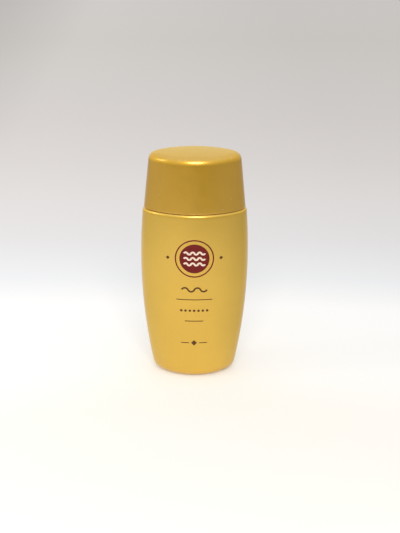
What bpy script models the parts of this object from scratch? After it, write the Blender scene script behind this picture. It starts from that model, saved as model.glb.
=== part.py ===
"""Sunscreen milk bottle: an oval blow-moulded bottle with an oval screw cap that stops in line with it.

Metres, +Z up. The origin is the middle of the base, on the surface that the bottle stands on. X runs across
the wide face, and the front faces -Y. The cap is closed, and the mixing ball lies on the floor inside.
"""

import math

import bmesh
import bpy

# Bottle, outside
BOTTLE_WIDTH = 0.0500
BOTTLE_DEPTH = 0.0314
SHOULDER_HEIGHT = 0.0800
WIDEST_HEIGHT = 0.0573
SIDE_TAPER = 0.00645
FRONT_TAPER = 0.0019
END_RADIUS_SHARE = 0.60
BASE_CORNER_RADIUS = 0.0044
SHOULDER_EDGE_RADIUS = 0.0013
STANDING_RING_WIDTH = 0.0013
PUSH_UP_HEIGHT = 0.0014
PUSH_UP_SHARES = ((0.64, 1.0), (0.76, 0.80), (0.88, 0.25))

# Bottle, inside
BOTTLE_WALL = 0.0011
FLOOR_THICKNESS = 0.0013
INNER_SHOULDER_RADIUS = 0.0012

# Mark that the two mould halves leave where they pinch the base shut
PINCH_LENGTH = 0.0150
PINCH_WIDTH = 0.0008
PINCH_HEIGHT = 0.0004

# Neck
NECK_WALL = 0.0019
NECK_FILLET = 0.0010
LIP_RADIUS = 0.0005

# Screw thread, on the neck and in the cap
THREAD_PITCH = 0.0030
THREAD_DEPTH = 0.0010
THREAD_FOOT_WIDTH = 0.0015
THREAD_CREST_WIDTH = 0.0006
THREAD_RISE = 0.0062
NECK_THREAD_TURNS = 1.5
CAP_THREAD_TURNS = 1.25
THREAD_RUN_OUT_SHARE = 0.08
THREAD_END_SHARE = 0.12

# Stops that bring the cap to rest in line with the bottle
STOP_COUNT = 2
STOP_ANGLE = math.radians(38)
STOP_SPAN = math.radians(12)
STOP_HEIGHT = 0.0014
STOP_REACH = 0.0022
STOP_OVERLAP = 0.0009
SECTOR_SHARES = (0.0, 0.5, 1.0)

# Orifice plug, pressed into the mouth
PLUG_WALL = 0.0009
PLUG_LENGTH = 0.0085
PLUG_EDGE = 0.0003
FLANGE_THICKNESS = 0.0012
FLANGE_INSET = 0.0003
SPOUT_HEIGHT = 0.0030
SPOUT_FOOT_RADIUS = 0.0032
SPOUT_TIP_RADIUS = 0.0023
SPOUT_FILLET = 0.0005
THROAT_RADIUS = 0.0016
ORIFICE_RADIUS = 0.0009
ORIFICE_LENGTH = 0.0010

# Sealing disc, loose under the roof of the inner cap
DISC_THICKNESS = 0.0012
DISC_EDGE = 0.0002
DISC_BEAD_REACH = 0.0006
DISC_BEAD_WIDTH = 0.0008

# Inner cap, which carries the thread
INNER_CAP_SIDE_GAP = 0.0019
INNER_CAP_WALL = 0.0015
INNER_CAP_ROOF = 0.0014
INNER_CAP_EDGE = 0.0005
GROOVE_DEPTH = 0.0008

# Cap shell
CAP_HEIGHT = 0.0262
CAP_INSET = 0.00055
CAP_SIDE_DRAFT = 0.0026
CAP_FRONT_DRAFT = 0.0009
CAP_WALL = 0.0014
CAP_EDGE_RADIUS = 0.0032
CAP_INNER_EDGE_RADIUS = 0.0016
CAP_FOOT_RADIUS = 0.0003
CROWN_HEIGHT = 0.0005
CROWN_SHARES = (0.35, 0.70)

# Ribs inside the shell that grip the inner cap
RIB_COUNT = 6
RIB_THICKNESS = 0.0010
RIB_DROP = 0.0026
RIB_HUB_RADIUS = 0.0030
RIB_FOOT_RISE = 0.0035

# Mixing ball
BALL_DIAMETER = 0.0050

# Clearances
SEAM_GAP = 0.00035
FIT_GAP = 0.0003
OVERRUN = 0.0004

# Fineness of the faces, in counts
RING_POINTS = 60
THREAD_POINTS = 48
WALL_RINGS = 12
INNER_WALL_RINGS = 6
CORNER_STEPS = 5
FILLET_STEPS = 4
SMALL_FILLET_STEPS = 2
BALL_SUBDIVISIONS = 3
SMOOTH_ANGLE = math.radians(32)

# Colour, roughness and metallic value of each material
FINISHES = {
    "gold_body": ((0.62, 0.42, 0.11, 1.0), 0.36, 0.75),
    "gold_cap": ((0.52, 0.33, 0.07, 1.0), 0.33, 0.75),
    "white_plug": ((0.86, 0.86, 0.83, 1.0), 0.40, 0.0),
    "white_cap_lining": ((0.88, 0.87, 0.84, 1.0), 0.45, 0.0),
    "white_foam": ((0.90, 0.90, 0.88, 1.0), 0.80, 0.0),
    "steel": ((0.62, 0.62, 0.64, 1.0), 0.12, 1.0),
}


# Outlines. An outline is (half width, half depth, end radius) of an oval of four arcs.


def arc_drop(distance, reach, taper):
    """How far an arc has drawn in at a distance from its crown, when it draws in by taper at reach."""
    radius = (reach**2 + taper**2) / (2 * taper)
    return radius - math.sqrt(radius**2 - distance**2)


def body_outline(height, inset=0.0):
    """The bottle's outline at a height, drawn in evenly by inset."""
    distance = height - WIDEST_HEIGHT
    half_width = BOTTLE_WIDTH / 2 - arc_drop(distance, WIDEST_HEIGHT, SIDE_TAPER)
    half_depth = BOTTLE_DEPTH / 2 - arc_drop(distance, WIDEST_HEIGHT, FRONT_TAPER)
    return half_width - inset, half_depth - inset, END_RADIUS_SHARE * half_depth - inset


def cap_outline(height, inset=0.0):
    """The cap's outline at a height: the shoulder's, set in a little, with straight drafted sides."""
    width, depth, _ = body_outline(SHOULDER_HEIGHT - SHOULDER_EDGE_RADIUS, CAP_INSET)
    share = (height - CAP_FOOT) / CAP_HEIGHT
    half_width = width - CAP_SIDE_DRAFT * share
    half_depth = depth - CAP_FRONT_DRAFT * share
    return half_width - inset, half_depth - inset, END_RADIUS_SHARE * half_depth - inset


# Heights that follow from the stack of pieces under the cap's top
CAP_FOOT = SHOULDER_HEIGHT + SEAM_GAP
CAP_TOP = CAP_FOOT + CAP_HEIGHT
CROWN_RIM = CAP_TOP - CROWN_HEIGHT
CEILING = CROWN_RIM - CAP_WALL
INNER_CAP_TOP = CEILING - RIB_DROP
INNER_CAP_CEILING = INNER_CAP_TOP - INNER_CAP_ROOF
DISC_TOP = INNER_CAP_CEILING - FIT_GAP
DISC_FOOT = DISC_TOP - DISC_THICKNESS
SPOUT_TIP = DISC_FOOT - FIT_GAP
FLANGE_TOP = SPOUT_TIP - SPOUT_HEIGHT
FLANGE_FOOT = FLANGE_TOP - FLANGE_THICKNESS
LIP_HEIGHT = FLANGE_FOOT - FIT_GAP
PLUG_FOOT = FLANGE_FOOT - PLUG_LENGTH
INNER_CAP_FOOT = SHOULDER_HEIGHT + STOP_HEIGHT + FIT_GAP
TAB_FOOT = SHOULDER_HEIGHT + STOP_HEIGHT - STOP_OVERLAP
RIB_FOOT = INNER_CAP_FOOT + RIB_FOOT_RISE
THREAD_HEIGHT = SHOULDER_HEIGHT + THREAD_RISE

# Radii that follow from the room inside the shell
INNER_CAP_RADIUS = cap_outline(INNER_CAP_TOP, CAP_WALL)[1] - INNER_CAP_SIDE_GAP
INNER_CAP_BORE = INNER_CAP_RADIUS - INNER_CAP_WALL
GROOVE_RADIUS = INNER_CAP_RADIUS - GROOVE_DEPTH
RIB_TIP_RADIUS = GROOVE_RADIUS + FIT_GAP
DISC_RADIUS = INNER_CAP_BORE - FIT_GAP
THREAD_CREST_RADIUS = INNER_CAP_BORE - FIT_GAP
NECK_RADIUS = THREAD_CREST_RADIUS - THREAD_DEPTH
CAP_THREAD_CREST_RADIUS = NECK_RADIUS + FIT_GAP
MOUTH_RADIUS = NECK_RADIUS - NECK_WALL
FLANGE_RADIUS = NECK_RADIUS - FLANGE_INSET
PLUG_RADIUS = MOUTH_RADIUS - FIT_GAP
PLUG_BORE = PLUG_RADIUS - PLUG_WALL


# Rings of points, all walked anticlockwise and spaced by the direction that their outline faces


def oval_ring(outline, height):
    """An oval of four arcs, with a point for each of the evenly spaced directions."""
    half_width, half_depth, end_radius = outline
    end_centre = half_width - end_radius
    squares = end_centre**2 + half_depth**2 - end_radius**2
    face_radius = squares / (2 * (half_depth - end_radius))
    face_centre = face_radius - half_depth
    ring = []
    for step in range(RING_POINTS):
        angle = 2 * math.pi * step / RING_POINTS
        across, along = math.cos(angle), math.sin(angle)
        if abs(along) * end_centre <= abs(across) * face_centre:
            x = math.copysign(end_centre, across) + end_radius * across
            y = end_radius * along
        else:
            x = face_radius * across
            y = face_radius * along - math.copysign(face_centre, along)
        ring.append((x, y, height))
    return ring


def round_ring(radius, height):
    angles = [2 * math.pi * step / RING_POINTS for step in range(RING_POINTS)]
    return [(radius * math.cos(angle), radius * math.sin(angle), height) for angle in angles]


def scaled_ring(ring, share, height):
    return [(x * share, y * share, height) for x, y, _ in ring]


def quarter_turn(steps):
    """Sine and cosine at even steps of a quarter turn, both ends included."""
    angles = [math.pi / 2 * step / steps for step in range(steps + 1)]
    return [(math.sin(angle), math.cos(angle)) for angle in angles]


# Solids


def loft(mesh, rings, closed=False):
    """Skins a run of rings. A run that isn't closed starts and ends in the middle of its end rings."""
    levels = [[mesh.verts.new(point) for point in ring] for ring in rings]
    pairs = list(zip(levels, levels[1:]))
    if closed:
        pairs.append((levels[-1], levels[0]))
    for lower, upper in pairs:
        for k in range(len(lower)):
            following = (k + 1) % len(lower)
            mesh.faces.new((lower[k], lower[following], upper[following], upper[k]))
    if not closed:
        for level in (levels[0], levels[-1]):
            height = level[0].co.z
            middle = mesh.verts.new((0, 0, height))
            for k in range(len(level)):
                mesh.faces.new((level[k], level[(k + 1) % len(level)], middle))


def sweep(mesh, columns):
    """Skins a run of outlines that have the same number of points, and closes both ends. Returns its points."""
    runs = [[mesh.verts.new(point) for point in column] for column in columns]
    for near, far in zip(runs, runs[1:]):
        for k in range(len(near)):
            following = (k + 1) % len(near)
            mesh.faces.new((near[k], near[following], far[following], far[k]))
    mesh.faces.new(runs[0])
    mesh.faces.new(runs[-1])
    return [vert for run in runs for vert in run]


def radial_column(corners, angle):
    """Corners given as radius and height, stood up at an angle round the axis."""
    return [(radius * math.cos(angle), radius * math.sin(angle), height) for radius, height in corners]


def sector(mesh, inner, outer, start, span, foot, top):
    """A block between two radii, two angles and two heights."""
    corners = ((inner, foot), (outer, foot), (outer, top), (inner, top))
    sweep(mesh, [radial_column(corners, start + span * share) for share in SECTOR_SHARES])


def box(mesh, low, high):
    """A block between two corners. Returns its points."""
    sides = ((low[1], low[2]), (high[1], low[2]), (high[1], high[2]), (low[1], high[2]))
    return sweep(mesh, [[(x, y, z) for y, z in sides] for x in (low[0], high[0])])


def helical_bead(mesh, foot_radius, crest_radius, height, turns):
    """A thread bead along a right-hand helix, which starts at +X and runs out to nothing at both ends."""
    steps = round(turns * THREAD_POINTS)
    depth = crest_radius - foot_radius
    buried = foot_radius - math.copysign(OVERRUN, depth)
    half_foot, half_crest = THREAD_FOOT_WIDTH / 2, THREAD_CREST_WIDTH / 2
    columns = []
    for step in range(steps + 1):
        share = step / steps
        middle = height + THREAD_PITCH * turns * share
        fullness = min(1.0, THREAD_END_SHARE + min(share, 1 - share) / THREAD_RUN_OUT_SHARE)
        crest = foot_radius + depth * fullness
        corners = (
            (buried, middle - half_foot),
            (crest, middle - half_crest),
            (crest, middle + half_crest),
            (buried, middle + half_foot),
        )
        columns.append(radial_column(corners, 2 * math.pi * turns * share))
    sweep(mesh, columns)


def make_object(name, mesh, material=None):
    """Turns the bmesh into an object with its faces pointing out, smooth but for its real edges."""
    bmesh.ops.recalc_face_normals(mesh, faces=mesh.faces)
    data = bpy.data.meshes.new(name)
    mesh.to_mesh(data)
    mesh.free()
    data.shade_smooth()
    data.set_sharp_from_angle(angle=SMOOTH_ANGLE)
    made = bpy.data.objects.new(name, data)
    bpy.context.scene.collection.objects.link(made)
    if material:
        data.materials.append(material)
    else:
        made.hide_render = True
        made.display_type = "WIRE"
    return made


def combine(target, tool, operation):
    """Joins the tool to the target, or cuts it away, and leaves the tool as a hidden helper."""
    modifier = target.modifiers.new(tool.name, "BOOLEAN")
    modifier.operation = operation
    modifier.solver = "EXACT"
    modifier.object = tool


def make_material(name):
    colour, roughness, metallic = FINISHES[name]
    material = bpy.data.materials.new(name)
    material.use_nodes = True
    shader = material.node_tree.nodes["Principled BSDF"]
    shader.inputs["Base Color"].default_value = colour
    shader.inputs["Roughness"].default_value = roughness
    shader.inputs["Metallic"].default_value = metallic
    material.diffuse_color = colour
    return material


# Bottle body


def base_rings(height):
    """Rings from the middle of the base out to the edge of its standing ring, for a base at a height."""
    inner = oval_ring(body_outline(height, BASE_CORNER_RADIUS + STANDING_RING_WIDTH), height)
    outer = oval_ring(body_outline(height, BASE_CORNER_RADIUS), height)
    rings = [scaled_ring(inner, plan, height + PUSH_UP_HEIGHT * rise) for plan, rise in PUSH_UP_SHARES]
    return rings + [inner, outer]


def corner_rings(floor, inset):
    """Rings round the base's corner, from the flat up to the wall, for a surface set in from the outside."""
    radius = BASE_CORNER_RADIUS - inset
    rings = []
    for sine, cosine in quarter_turn(CORNER_STEPS)[1:]:
        height = floor + radius * (1 - cosine)
        rings.append(oval_ring(body_outline(height, inset + radius * (1 - sine)), height))
    return rings


def wall_rings(low, high, inset, steps):
    """Evenly spaced rings up the wall, above the lower height and up to the higher one."""
    heights = [low + (high - low) * step / steps for step in range(1, steps + 1)]
    return [oval_ring(body_outline(height, inset), height) for height in heights]


def shoulder_rings(top, radius, inset, steps):
    """Rings round the shoulder's edge, from the wall in to the flat."""
    rings = []
    for sine, cosine in quarter_turn(steps)[1:]:
        height = top - radius * (1 - sine)
        rings.append(oval_ring(body_outline(height, inset + radius * (1 - cosine)), height))
    return rings


def outer_bottle_rings():
    """Rings up the outside, from the middle of the base to the flat of the shoulder."""
    low, high = BASE_CORNER_RADIUS, SHOULDER_HEIGHT - SHOULDER_EDGE_RADIUS
    rings = base_rings(0.0) + corner_rings(0.0, 0.0) + wall_rings(low, high, 0.0, WALL_RINGS)
    return rings + shoulder_rings(SHOULDER_HEIGHT, SHOULDER_EDGE_RADIUS, 0.0, FILLET_STEPS)


def inner_bottle_rings():
    """Rings up the inside, from the middle of the floor to the shoulder's underside."""
    ceiling = SHOULDER_HEIGHT - BOTTLE_WALL
    low = FLOOR_THICKNESS + BASE_CORNER_RADIUS - BOTTLE_WALL
    high = ceiling - INNER_SHOULDER_RADIUS
    rings = base_rings(FLOOR_THICKNESS) + corner_rings(FLOOR_THICKNESS, BOTTLE_WALL)
    rings += wall_rings(low, high, BOTTLE_WALL, INNER_WALL_RINGS)
    return rings + shoulder_rings(ceiling, INNER_SHOULDER_RADIUS, BOTTLE_WALL, SMALL_FILLET_STEPS)


def neck_rings():
    """Rings up the neck, over its lip and down the mouth, to the underside of the deck."""
    rings = []
    for sine, cosine in quarter_turn(SMALL_FILLET_STEPS):
        radius = NECK_RADIUS + NECK_FILLET * (1 - sine)
        rings.append(round_ring(radius, SHOULDER_HEIGHT + NECK_FILLET * (1 - cosine)))
    for sine, cosine in quarter_turn(SMALL_FILLET_STEPS):
        radius = NECK_RADIUS - LIP_RADIUS * (1 - cosine)
        rings.append(round_ring(radius, LIP_HEIGHT - LIP_RADIUS * (1 - sine)))
    for sine, cosine in quarter_turn(SMALL_FILLET_STEPS):
        radius = MOUTH_RADIUS + LIP_RADIUS * (1 - sine)
        rings.append(round_ring(radius, LIP_HEIGHT - LIP_RADIUS * (1 - cosine)))
    rings.append(round_ring(MOUTH_RADIUS, SHOULDER_HEIGHT - BOTTLE_WALL))
    return rings


def make_bottle(material):
    mesh = bmesh.new()
    loft(mesh, outer_bottle_rings() + neck_rings() + inner_bottle_rings()[::-1])
    bottle = make_object("bottle_body", mesh, material)

    mesh = bmesh.new()
    helical_bead(mesh, NECK_RADIUS, THREAD_CREST_RADIUS, THREAD_HEIGHT, NECK_THREAD_TURNS)
    combine(bottle, make_object("neck_thread", mesh), "UNION")

    mesh = bmesh.new()
    for k in range(STOP_COUNT):
        start = STOP_ANGLE + 2 * math.pi * k / STOP_COUNT
        foot, top = SHOULDER_HEIGHT - OVERRUN, SHOULDER_HEIGHT + STOP_HEIGHT
        sector(mesh, NECK_RADIUS - OVERRUN, NECK_RADIUS + STOP_REACH, start, STOP_SPAN, foot, top)
    combine(bottle, make_object("neck_stops", mesh), "UNION")

    mesh = bmesh.new()
    low = (-PINCH_LENGTH / 2, -PINCH_WIDTH / 2, PUSH_UP_HEIGHT - PINCH_HEIGHT)
    high = (PINCH_LENGTH / 2, PINCH_WIDTH / 2, PUSH_UP_HEIGHT + OVERRUN)
    box(mesh, low, high)
    combine(bottle, make_object("pinch_mark", mesh), "UNION")
    return bottle


# Orifice plug


def make_plug(material):
    """A sleeve in the mouth, a flange on the lip and a spout with a small hole."""
    edge = PLUG_EDGE
    outside = [
        (PLUG_RADIUS - edge, PLUG_FOOT),
        (PLUG_RADIUS, PLUG_FOOT + edge),
        (PLUG_RADIUS, FLANGE_FOOT),
        (FLANGE_RADIUS - edge, FLANGE_FOOT),
        (FLANGE_RADIUS, FLANGE_FOOT + edge),
        (FLANGE_RADIUS, FLANGE_TOP - edge),
        (FLANGE_RADIUS - edge, FLANGE_TOP),
        (SPOUT_FOOT_RADIUS + SPOUT_FILLET, FLANGE_TOP),
        (SPOUT_FOOT_RADIUS, FLANGE_TOP + SPOUT_FILLET),
        (SPOUT_TIP_RADIUS, SPOUT_TIP - edge),
        (SPOUT_TIP_RADIUS - edge, SPOUT_TIP),
    ]
    inside = [
        (ORIFICE_RADIUS, SPOUT_TIP),
        (ORIFICE_RADIUS, SPOUT_TIP - ORIFICE_LENGTH),
        (THROAT_RADIUS, SPOUT_TIP - ORIFICE_LENGTH),
        (THROAT_RADIUS, FLANGE_TOP),
        (PLUG_BORE, FLANGE_FOOT),
        (PLUG_BORE, PLUG_FOOT),
    ]
    mesh = bmesh.new()
    loft(mesh, [round_ring(radius, height) for radius, height in outside + inside], closed=True)
    return make_object("orifice_plug", mesh, material)


# Sealing disc


def make_disc(material):
    edge = DISC_EDGE
    profile = (
        (DISC_RADIUS - edge, DISC_FOOT),
        (DISC_RADIUS, DISC_FOOT + edge),
        (DISC_RADIUS, DISC_TOP - edge),
        (DISC_RADIUS - edge, DISC_TOP),
    )
    mesh = bmesh.new()
    loft(mesh, [round_ring(radius, height) for radius, height in profile])
    return make_object("sealing_disc", mesh, material)


# Inner cap


def make_inner_cap(material):
    """A round threaded cap, with a bead that keeps the disc in and grooves for the shell's ribs."""
    bead_top = DISC_FOOT - FIT_GAP
    bead_middle, bead_foot = bead_top - DISC_BEAD_WIDTH / 2, bead_top - DISC_BEAD_WIDTH
    profile = (
        (INNER_CAP_RADIUS - INNER_CAP_EDGE, INNER_CAP_TOP),
        (INNER_CAP_RADIUS, INNER_CAP_TOP - INNER_CAP_EDGE),
        (INNER_CAP_RADIUS, INNER_CAP_FOOT),
        (INNER_CAP_BORE, INNER_CAP_FOOT),
        (INNER_CAP_BORE, bead_foot),
        (INNER_CAP_BORE - DISC_BEAD_REACH, bead_middle),
        (INNER_CAP_BORE, bead_top),
        (INNER_CAP_BORE, INNER_CAP_CEILING),
    )
    mesh = bmesh.new()
    loft(mesh, [round_ring(radius, height) for radius, height in profile])
    inner_cap = make_object("cap_inner", mesh, material)

    mesh = bmesh.new()
    height = THREAD_HEIGHT - THREAD_PITCH / 2
    helical_bead(mesh, INNER_CAP_BORE, CAP_THREAD_CREST_RADIUS, height, CAP_THREAD_TURNS)
    combine(inner_cap, make_object("cap_thread", mesh), "UNION")

    mesh = bmesh.new()
    for k in range(STOP_COUNT):
        start = STOP_ANGLE + STOP_SPAN + FIT_GAP / INNER_CAP_BORE + 2 * math.pi * k / STOP_COUNT
        sector(mesh, INNER_CAP_BORE, INNER_CAP_RADIUS, start, STOP_SPAN, TAB_FOOT, INNER_CAP_FOOT + OVERRUN)
    combine(inner_cap, make_object("cap_stops", mesh), "UNION")

    mesh = bmesh.new()
    for k in range(RIB_COUNT):
        half = RIB_THICKNESS / 2 + FIT_GAP
        low = (GROOVE_RADIUS, -half, RIB_FOOT - FIT_GAP)
        high = (INNER_CAP_RADIUS + OVERRUN, half, INNER_CAP_TOP + OVERRUN)
        turn_about_axis(mesh, box(mesh, low, high), 2 * math.pi * k / RIB_COUNT)
    combine(inner_cap, make_object("rib_grooves", mesh), "DIFFERENCE")
    return inner_cap


def turn_about_axis(mesh, verts, angle):
    c, s = math.cos(angle), math.sin(angle)
    for vert in verts:
        x, y, z = vert.co
        vert.co = (c * x - s * y, s * x + c * y, z)


# Cap shell


def outer_cap_rings(inset, top, edge_radius):
    """Rings from the crown's rim down to the foot, for the cap's outline drawn in by inset."""
    shoulder = top - edge_radius
    rings = []
    for sine, cosine in quarter_turn(FILLET_STEPS):
        height = shoulder + edge_radius * cosine
        rings.append(oval_ring(cap_outline(height, inset + edge_radius * (1 - sine)), height))
    return rings


def make_cap_shell(material):
    """An oval shell with a slightly crowned top, and ribs that grip the inner cap."""
    outside = outer_cap_rings(0.0, CROWN_RIM, CAP_EDGE_RADIUS)
    crown = [scaled_ring(outside[0], share, CAP_TOP - CROWN_HEIGHT * share**2) for share in CROWN_SHARES]
    foot = []
    for sine, cosine in quarter_turn(SMALL_FILLET_STEPS):
        height = CAP_FOOT + CAP_FOOT_RADIUS * (1 - sine)
        foot.append(oval_ring(cap_outline(height, CAP_FOOT_RADIUS * (1 - cosine)), height))
    inside = outer_cap_rings(CAP_WALL, CEILING, CAP_INNER_EDGE_RADIUS)
    mouth = oval_ring(cap_outline(CAP_FOOT, CAP_WALL), CAP_FOOT)
    mesh = bmesh.new()
    loft(mesh, crown + outside + foot + [mouth] + inside[::-1])
    shell = make_object("cap_shell", mesh, material)

    combine(shell, make_ribs(), "UNION")
    return shell


def make_ribs():
    """Plates on the axis's radii, trimmed to the middle of the shell's wall and round the inner cap."""
    mesh = bmesh.new()
    reach = BOTTLE_WIDTH / 2
    for k in range(RIB_COUNT):
        low = (RIB_HUB_RADIUS, -RIB_THICKNESS / 2, RIB_FOOT)
        high = (reach, RIB_THICKNESS / 2, CAP_TOP)
        turn_about_axis(mesh, box(mesh, low, high), 2 * math.pi * k / RIB_COUNT)
    ribs = make_object("cap_ribs", mesh)

    mesh = bmesh.new()
    half_wall = CAP_WALL / 2
    core = outer_cap_rings(half_wall, CROWN_RIM - half_wall, CAP_EDGE_RADIUS - half_wall)
    loft(mesh, core + [oval_ring(cap_outline(CAP_FOOT, half_wall), CAP_FOOT)])
    combine(ribs, make_object("rib_trim", mesh), "INTERSECT")

    mesh = bmesh.new()
    room = (CAP_FOOT, INNER_CAP_TOP + FIT_GAP)
    loft(mesh, [round_ring(RIB_TIP_RADIUS, height) for height in room])
    combine(ribs, make_object("inner_cap_room", mesh), "DIFFERENCE")
    return ribs


# Mixing ball


def ball_place():
    """The ball's middle: over the outer edge of the floor's flat ring, at the end of the oval."""
    edge = body_outline(FLOOR_THICKNESS, BASE_CORNER_RADIUS)[0]
    return edge, 0.0, FLOOR_THICKNESS + FIT_GAP + BALL_DIAMETER / 2


def make_ball(material):
    mesh = bmesh.new()
    bmesh.ops.create_icosphere(mesh, subdivisions=BALL_SUBDIVISIONS, radius=BALL_DIAMETER / 2)
    ball = make_object("mixing_ball", mesh, material)
    ball.location = ball_place()
    return ball


# Assembly


def clear_scene():
    for old in list(bpy.data.objects):
        bpy.data.objects.remove(old)


def make_frame_empty(name, children):
    """An empty on the cap's axis that carries the pieces that move together."""
    frame = bpy.data.objects.new(name, None)
    bpy.context.scene.collection.objects.link(frame)
    for child in children:
        child.parent = frame
    return frame


def main():
    clear_scene()
    materials = {name: make_material(name) for name in FINISHES}
    make_bottle(materials["gold_body"])
    make_plug(materials["white_plug"])
    disc = make_disc(materials["white_foam"])
    cap = [make_inner_cap(materials["white_cap_lining"]), make_cap_shell(materials["gold_cap"])]
    make_ball(materials["steel"])
    make_frame_empty("cap_turn", cap)
    make_frame_empty("cap_lift", [disc])


main()
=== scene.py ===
"""Looks of the sunscreen milk bottle: pearl gold bottle and cap, pale plastic inside, and a printed front.

Every piece is in metres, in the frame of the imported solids. The front faces -Y.
"""

import math

import bmesh
import bpy
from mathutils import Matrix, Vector


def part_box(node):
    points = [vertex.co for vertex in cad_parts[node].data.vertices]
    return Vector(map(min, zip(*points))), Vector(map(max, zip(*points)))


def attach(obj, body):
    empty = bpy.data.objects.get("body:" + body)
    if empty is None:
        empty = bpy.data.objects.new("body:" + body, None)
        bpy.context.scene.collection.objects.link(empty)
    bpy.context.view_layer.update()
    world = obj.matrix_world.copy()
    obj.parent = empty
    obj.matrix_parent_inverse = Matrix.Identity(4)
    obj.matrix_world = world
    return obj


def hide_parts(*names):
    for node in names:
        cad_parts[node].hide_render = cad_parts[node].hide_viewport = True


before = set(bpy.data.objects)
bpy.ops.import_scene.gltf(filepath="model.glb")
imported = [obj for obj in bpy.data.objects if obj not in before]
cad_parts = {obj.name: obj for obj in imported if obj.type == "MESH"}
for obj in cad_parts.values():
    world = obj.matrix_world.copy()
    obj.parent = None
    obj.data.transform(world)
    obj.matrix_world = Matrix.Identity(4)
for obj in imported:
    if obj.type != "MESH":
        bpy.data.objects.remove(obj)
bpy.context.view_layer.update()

# The photograph's frame, in pixels
IMAGE_WIDTH = 400
IMAGE_HEIGHT = 533
AIM_PIXEL_X = 194.4
AIM_PIXEL_Y = 267.8
FOCAL_PIXELS = 1300

# The camera, which looks at the middle of the bottle from a little above
AIM_HEIGHT = 0.05
CAMERA_DISTANCE = 0.6106
CAMERA_PITCH = math.radians(18.67)
CAMERA_ROLL = math.radians(0.3)
CAMERA_CLIP = 0.01
SENSOR = 36.0

# Distances within which two places count as the same, and within which two points are merged
NEAR = 0.00001
MERGE = 0.000001

# Heights of the solids
SHOULDER = 0.0800
SHOULDER_WALL = 0.0011
SHOULDER_UNDERSIDE = SHOULDER - SHOULDER_WALL
NECK_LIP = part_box("bottle_body")[1][2]
CAP_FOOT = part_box("cap_shell")[0][2]
CAP_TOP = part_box("cap_shell")[1][2]

# The neck, outside and inside, and how far round it the solid's own neck is cut away
NECK_RADIUS = 0.00804
MOUTH_RADIUS = 0.00614
NECK_FILLET = 0.0010
LIP_ROUNDING = 0.0005
NECK_CUT_MARGIN = 0.0020

# The bore of the cap's lining, with the bead that keeps the disc in
LINING_BORE = 0.00934
LINING_FOOT = 0.0817
LINING_ROOF = 0.0014
LINING_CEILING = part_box("cap_inner")[1][2] - LINING_ROOF
CEILING_ROUNDING = 0.0003
BEAD_DROP = 0.0022

# Half of the bead's outline: how far from its middle, and how far it stands out from the wall there
BEAD_OUTLINE = (
    (0.00055, 0.0),
    (0.00039, 0.00004),
    (0.00023, 0.00030),
    (0.00011, 0.00052),
    (0.0, 0.00059),
)

# The threads: ridges with flat crests, whose roots are sunk in the wall. They climb right-handed from +X.
THREAD_PITCH = 0.0030
THREAD_DEPTH = 0.0010
THREAD_ROOT_WIDTH = 0.0015
THREAD_CREST_WIDTH = 0.0006
THREAD_ROUNDING = 0.00015
THREAD_END_SHARE = 0.12
THREAD_RUN_OUT_SHARE = 0.08
NECK_THREAD_START = 0.0862
NECK_THREAD_TURNS = 1.5
NECK_THREAD_SINK = 0.00034
LINING_THREAD_START = 0.0847
LINING_THREAD_TURNS = 1.25
LINING_THREAD_SINK = 0.00026

# The stops at the neck's foot
STOP_ANGLE = math.radians(44)
STOP_SIZE = (0.0026, 0.0019, 0.0018)
STOP_MIDDLE = (0.00894, 0.0, 0.0805)
STOP_TOP_SHARES = (0.96, 0.82, 1)
STOP_ROUNDING = 0.00022

# The cap's foot, which is lowered and made crisper
FOOT_ZONE = 0.0004
FOOT_HEIGHT_SHARE = 0.5
SEAM_DROP = 0.00032

# Rings that hold the roundings tight: how far each lies from the rounding or edge that it holds
NECK_FOOT_SUPPORT = 0.0006
LIP_SUPPORT = 0.00065
SHOULDER_SUPPORT = 0.0022
CAP_TOP_SUPPORT = 0.0046
CAP_FOOT_SUPPORT = 0.0010
LINING_FOOT_SUPPORT = 0.0002

# Radii of the rings that divide the ceiling of the lining's bore
CEILING_RINGS = (0.0060, 0.0030)

# How squarely a face has to look up to count as flat, or as the top of a block
FLATNESS = 0.995
TOP_FACING = 0.9

# Fineness, in counts
RING_POINTS = 60
THREAD_POINTS = 96
PROFILE_CORNERS = 4
ROUNDING_STEPS = 3

# A flat piece drawn in the plane that faces the front
STANDING = (math.pi / 2, 0, 0)


# Profiles, as lists of radius and height, which are laid out to a hundredth of a millimetre

PROFILE_DIGITS = 5


def arc(radius, height, size, start, stop, steps=ROUNDING_STEPS):
    """A round corner of a size about its middle, from one angle in degrees to another."""
    angles = [math.radians(start + (stop - start) * step / steps) for step in range(steps + 1)]
    return [(radius + size * math.cos(angle), height + size * math.sin(angle)) for angle in angles]


def bead(radius, height):
    """The soft bead that swells inwards from a wall, from its foot over its crest."""
    lower = [(radius - swell, height - away) for away, swell in BEAD_OUTLINE]
    upper = [(radius - swell, height + away) for away, swell in BEAD_OUTLINE[-2::-1]]
    return lower + upper


def lay_out(*points):
    """A profile of the points, rounded to what profiles are laid out to."""
    return [(round(radius, PROFILE_DIGITS), round(height, PROFILE_DIGITS)) for radius, height in points]


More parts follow.
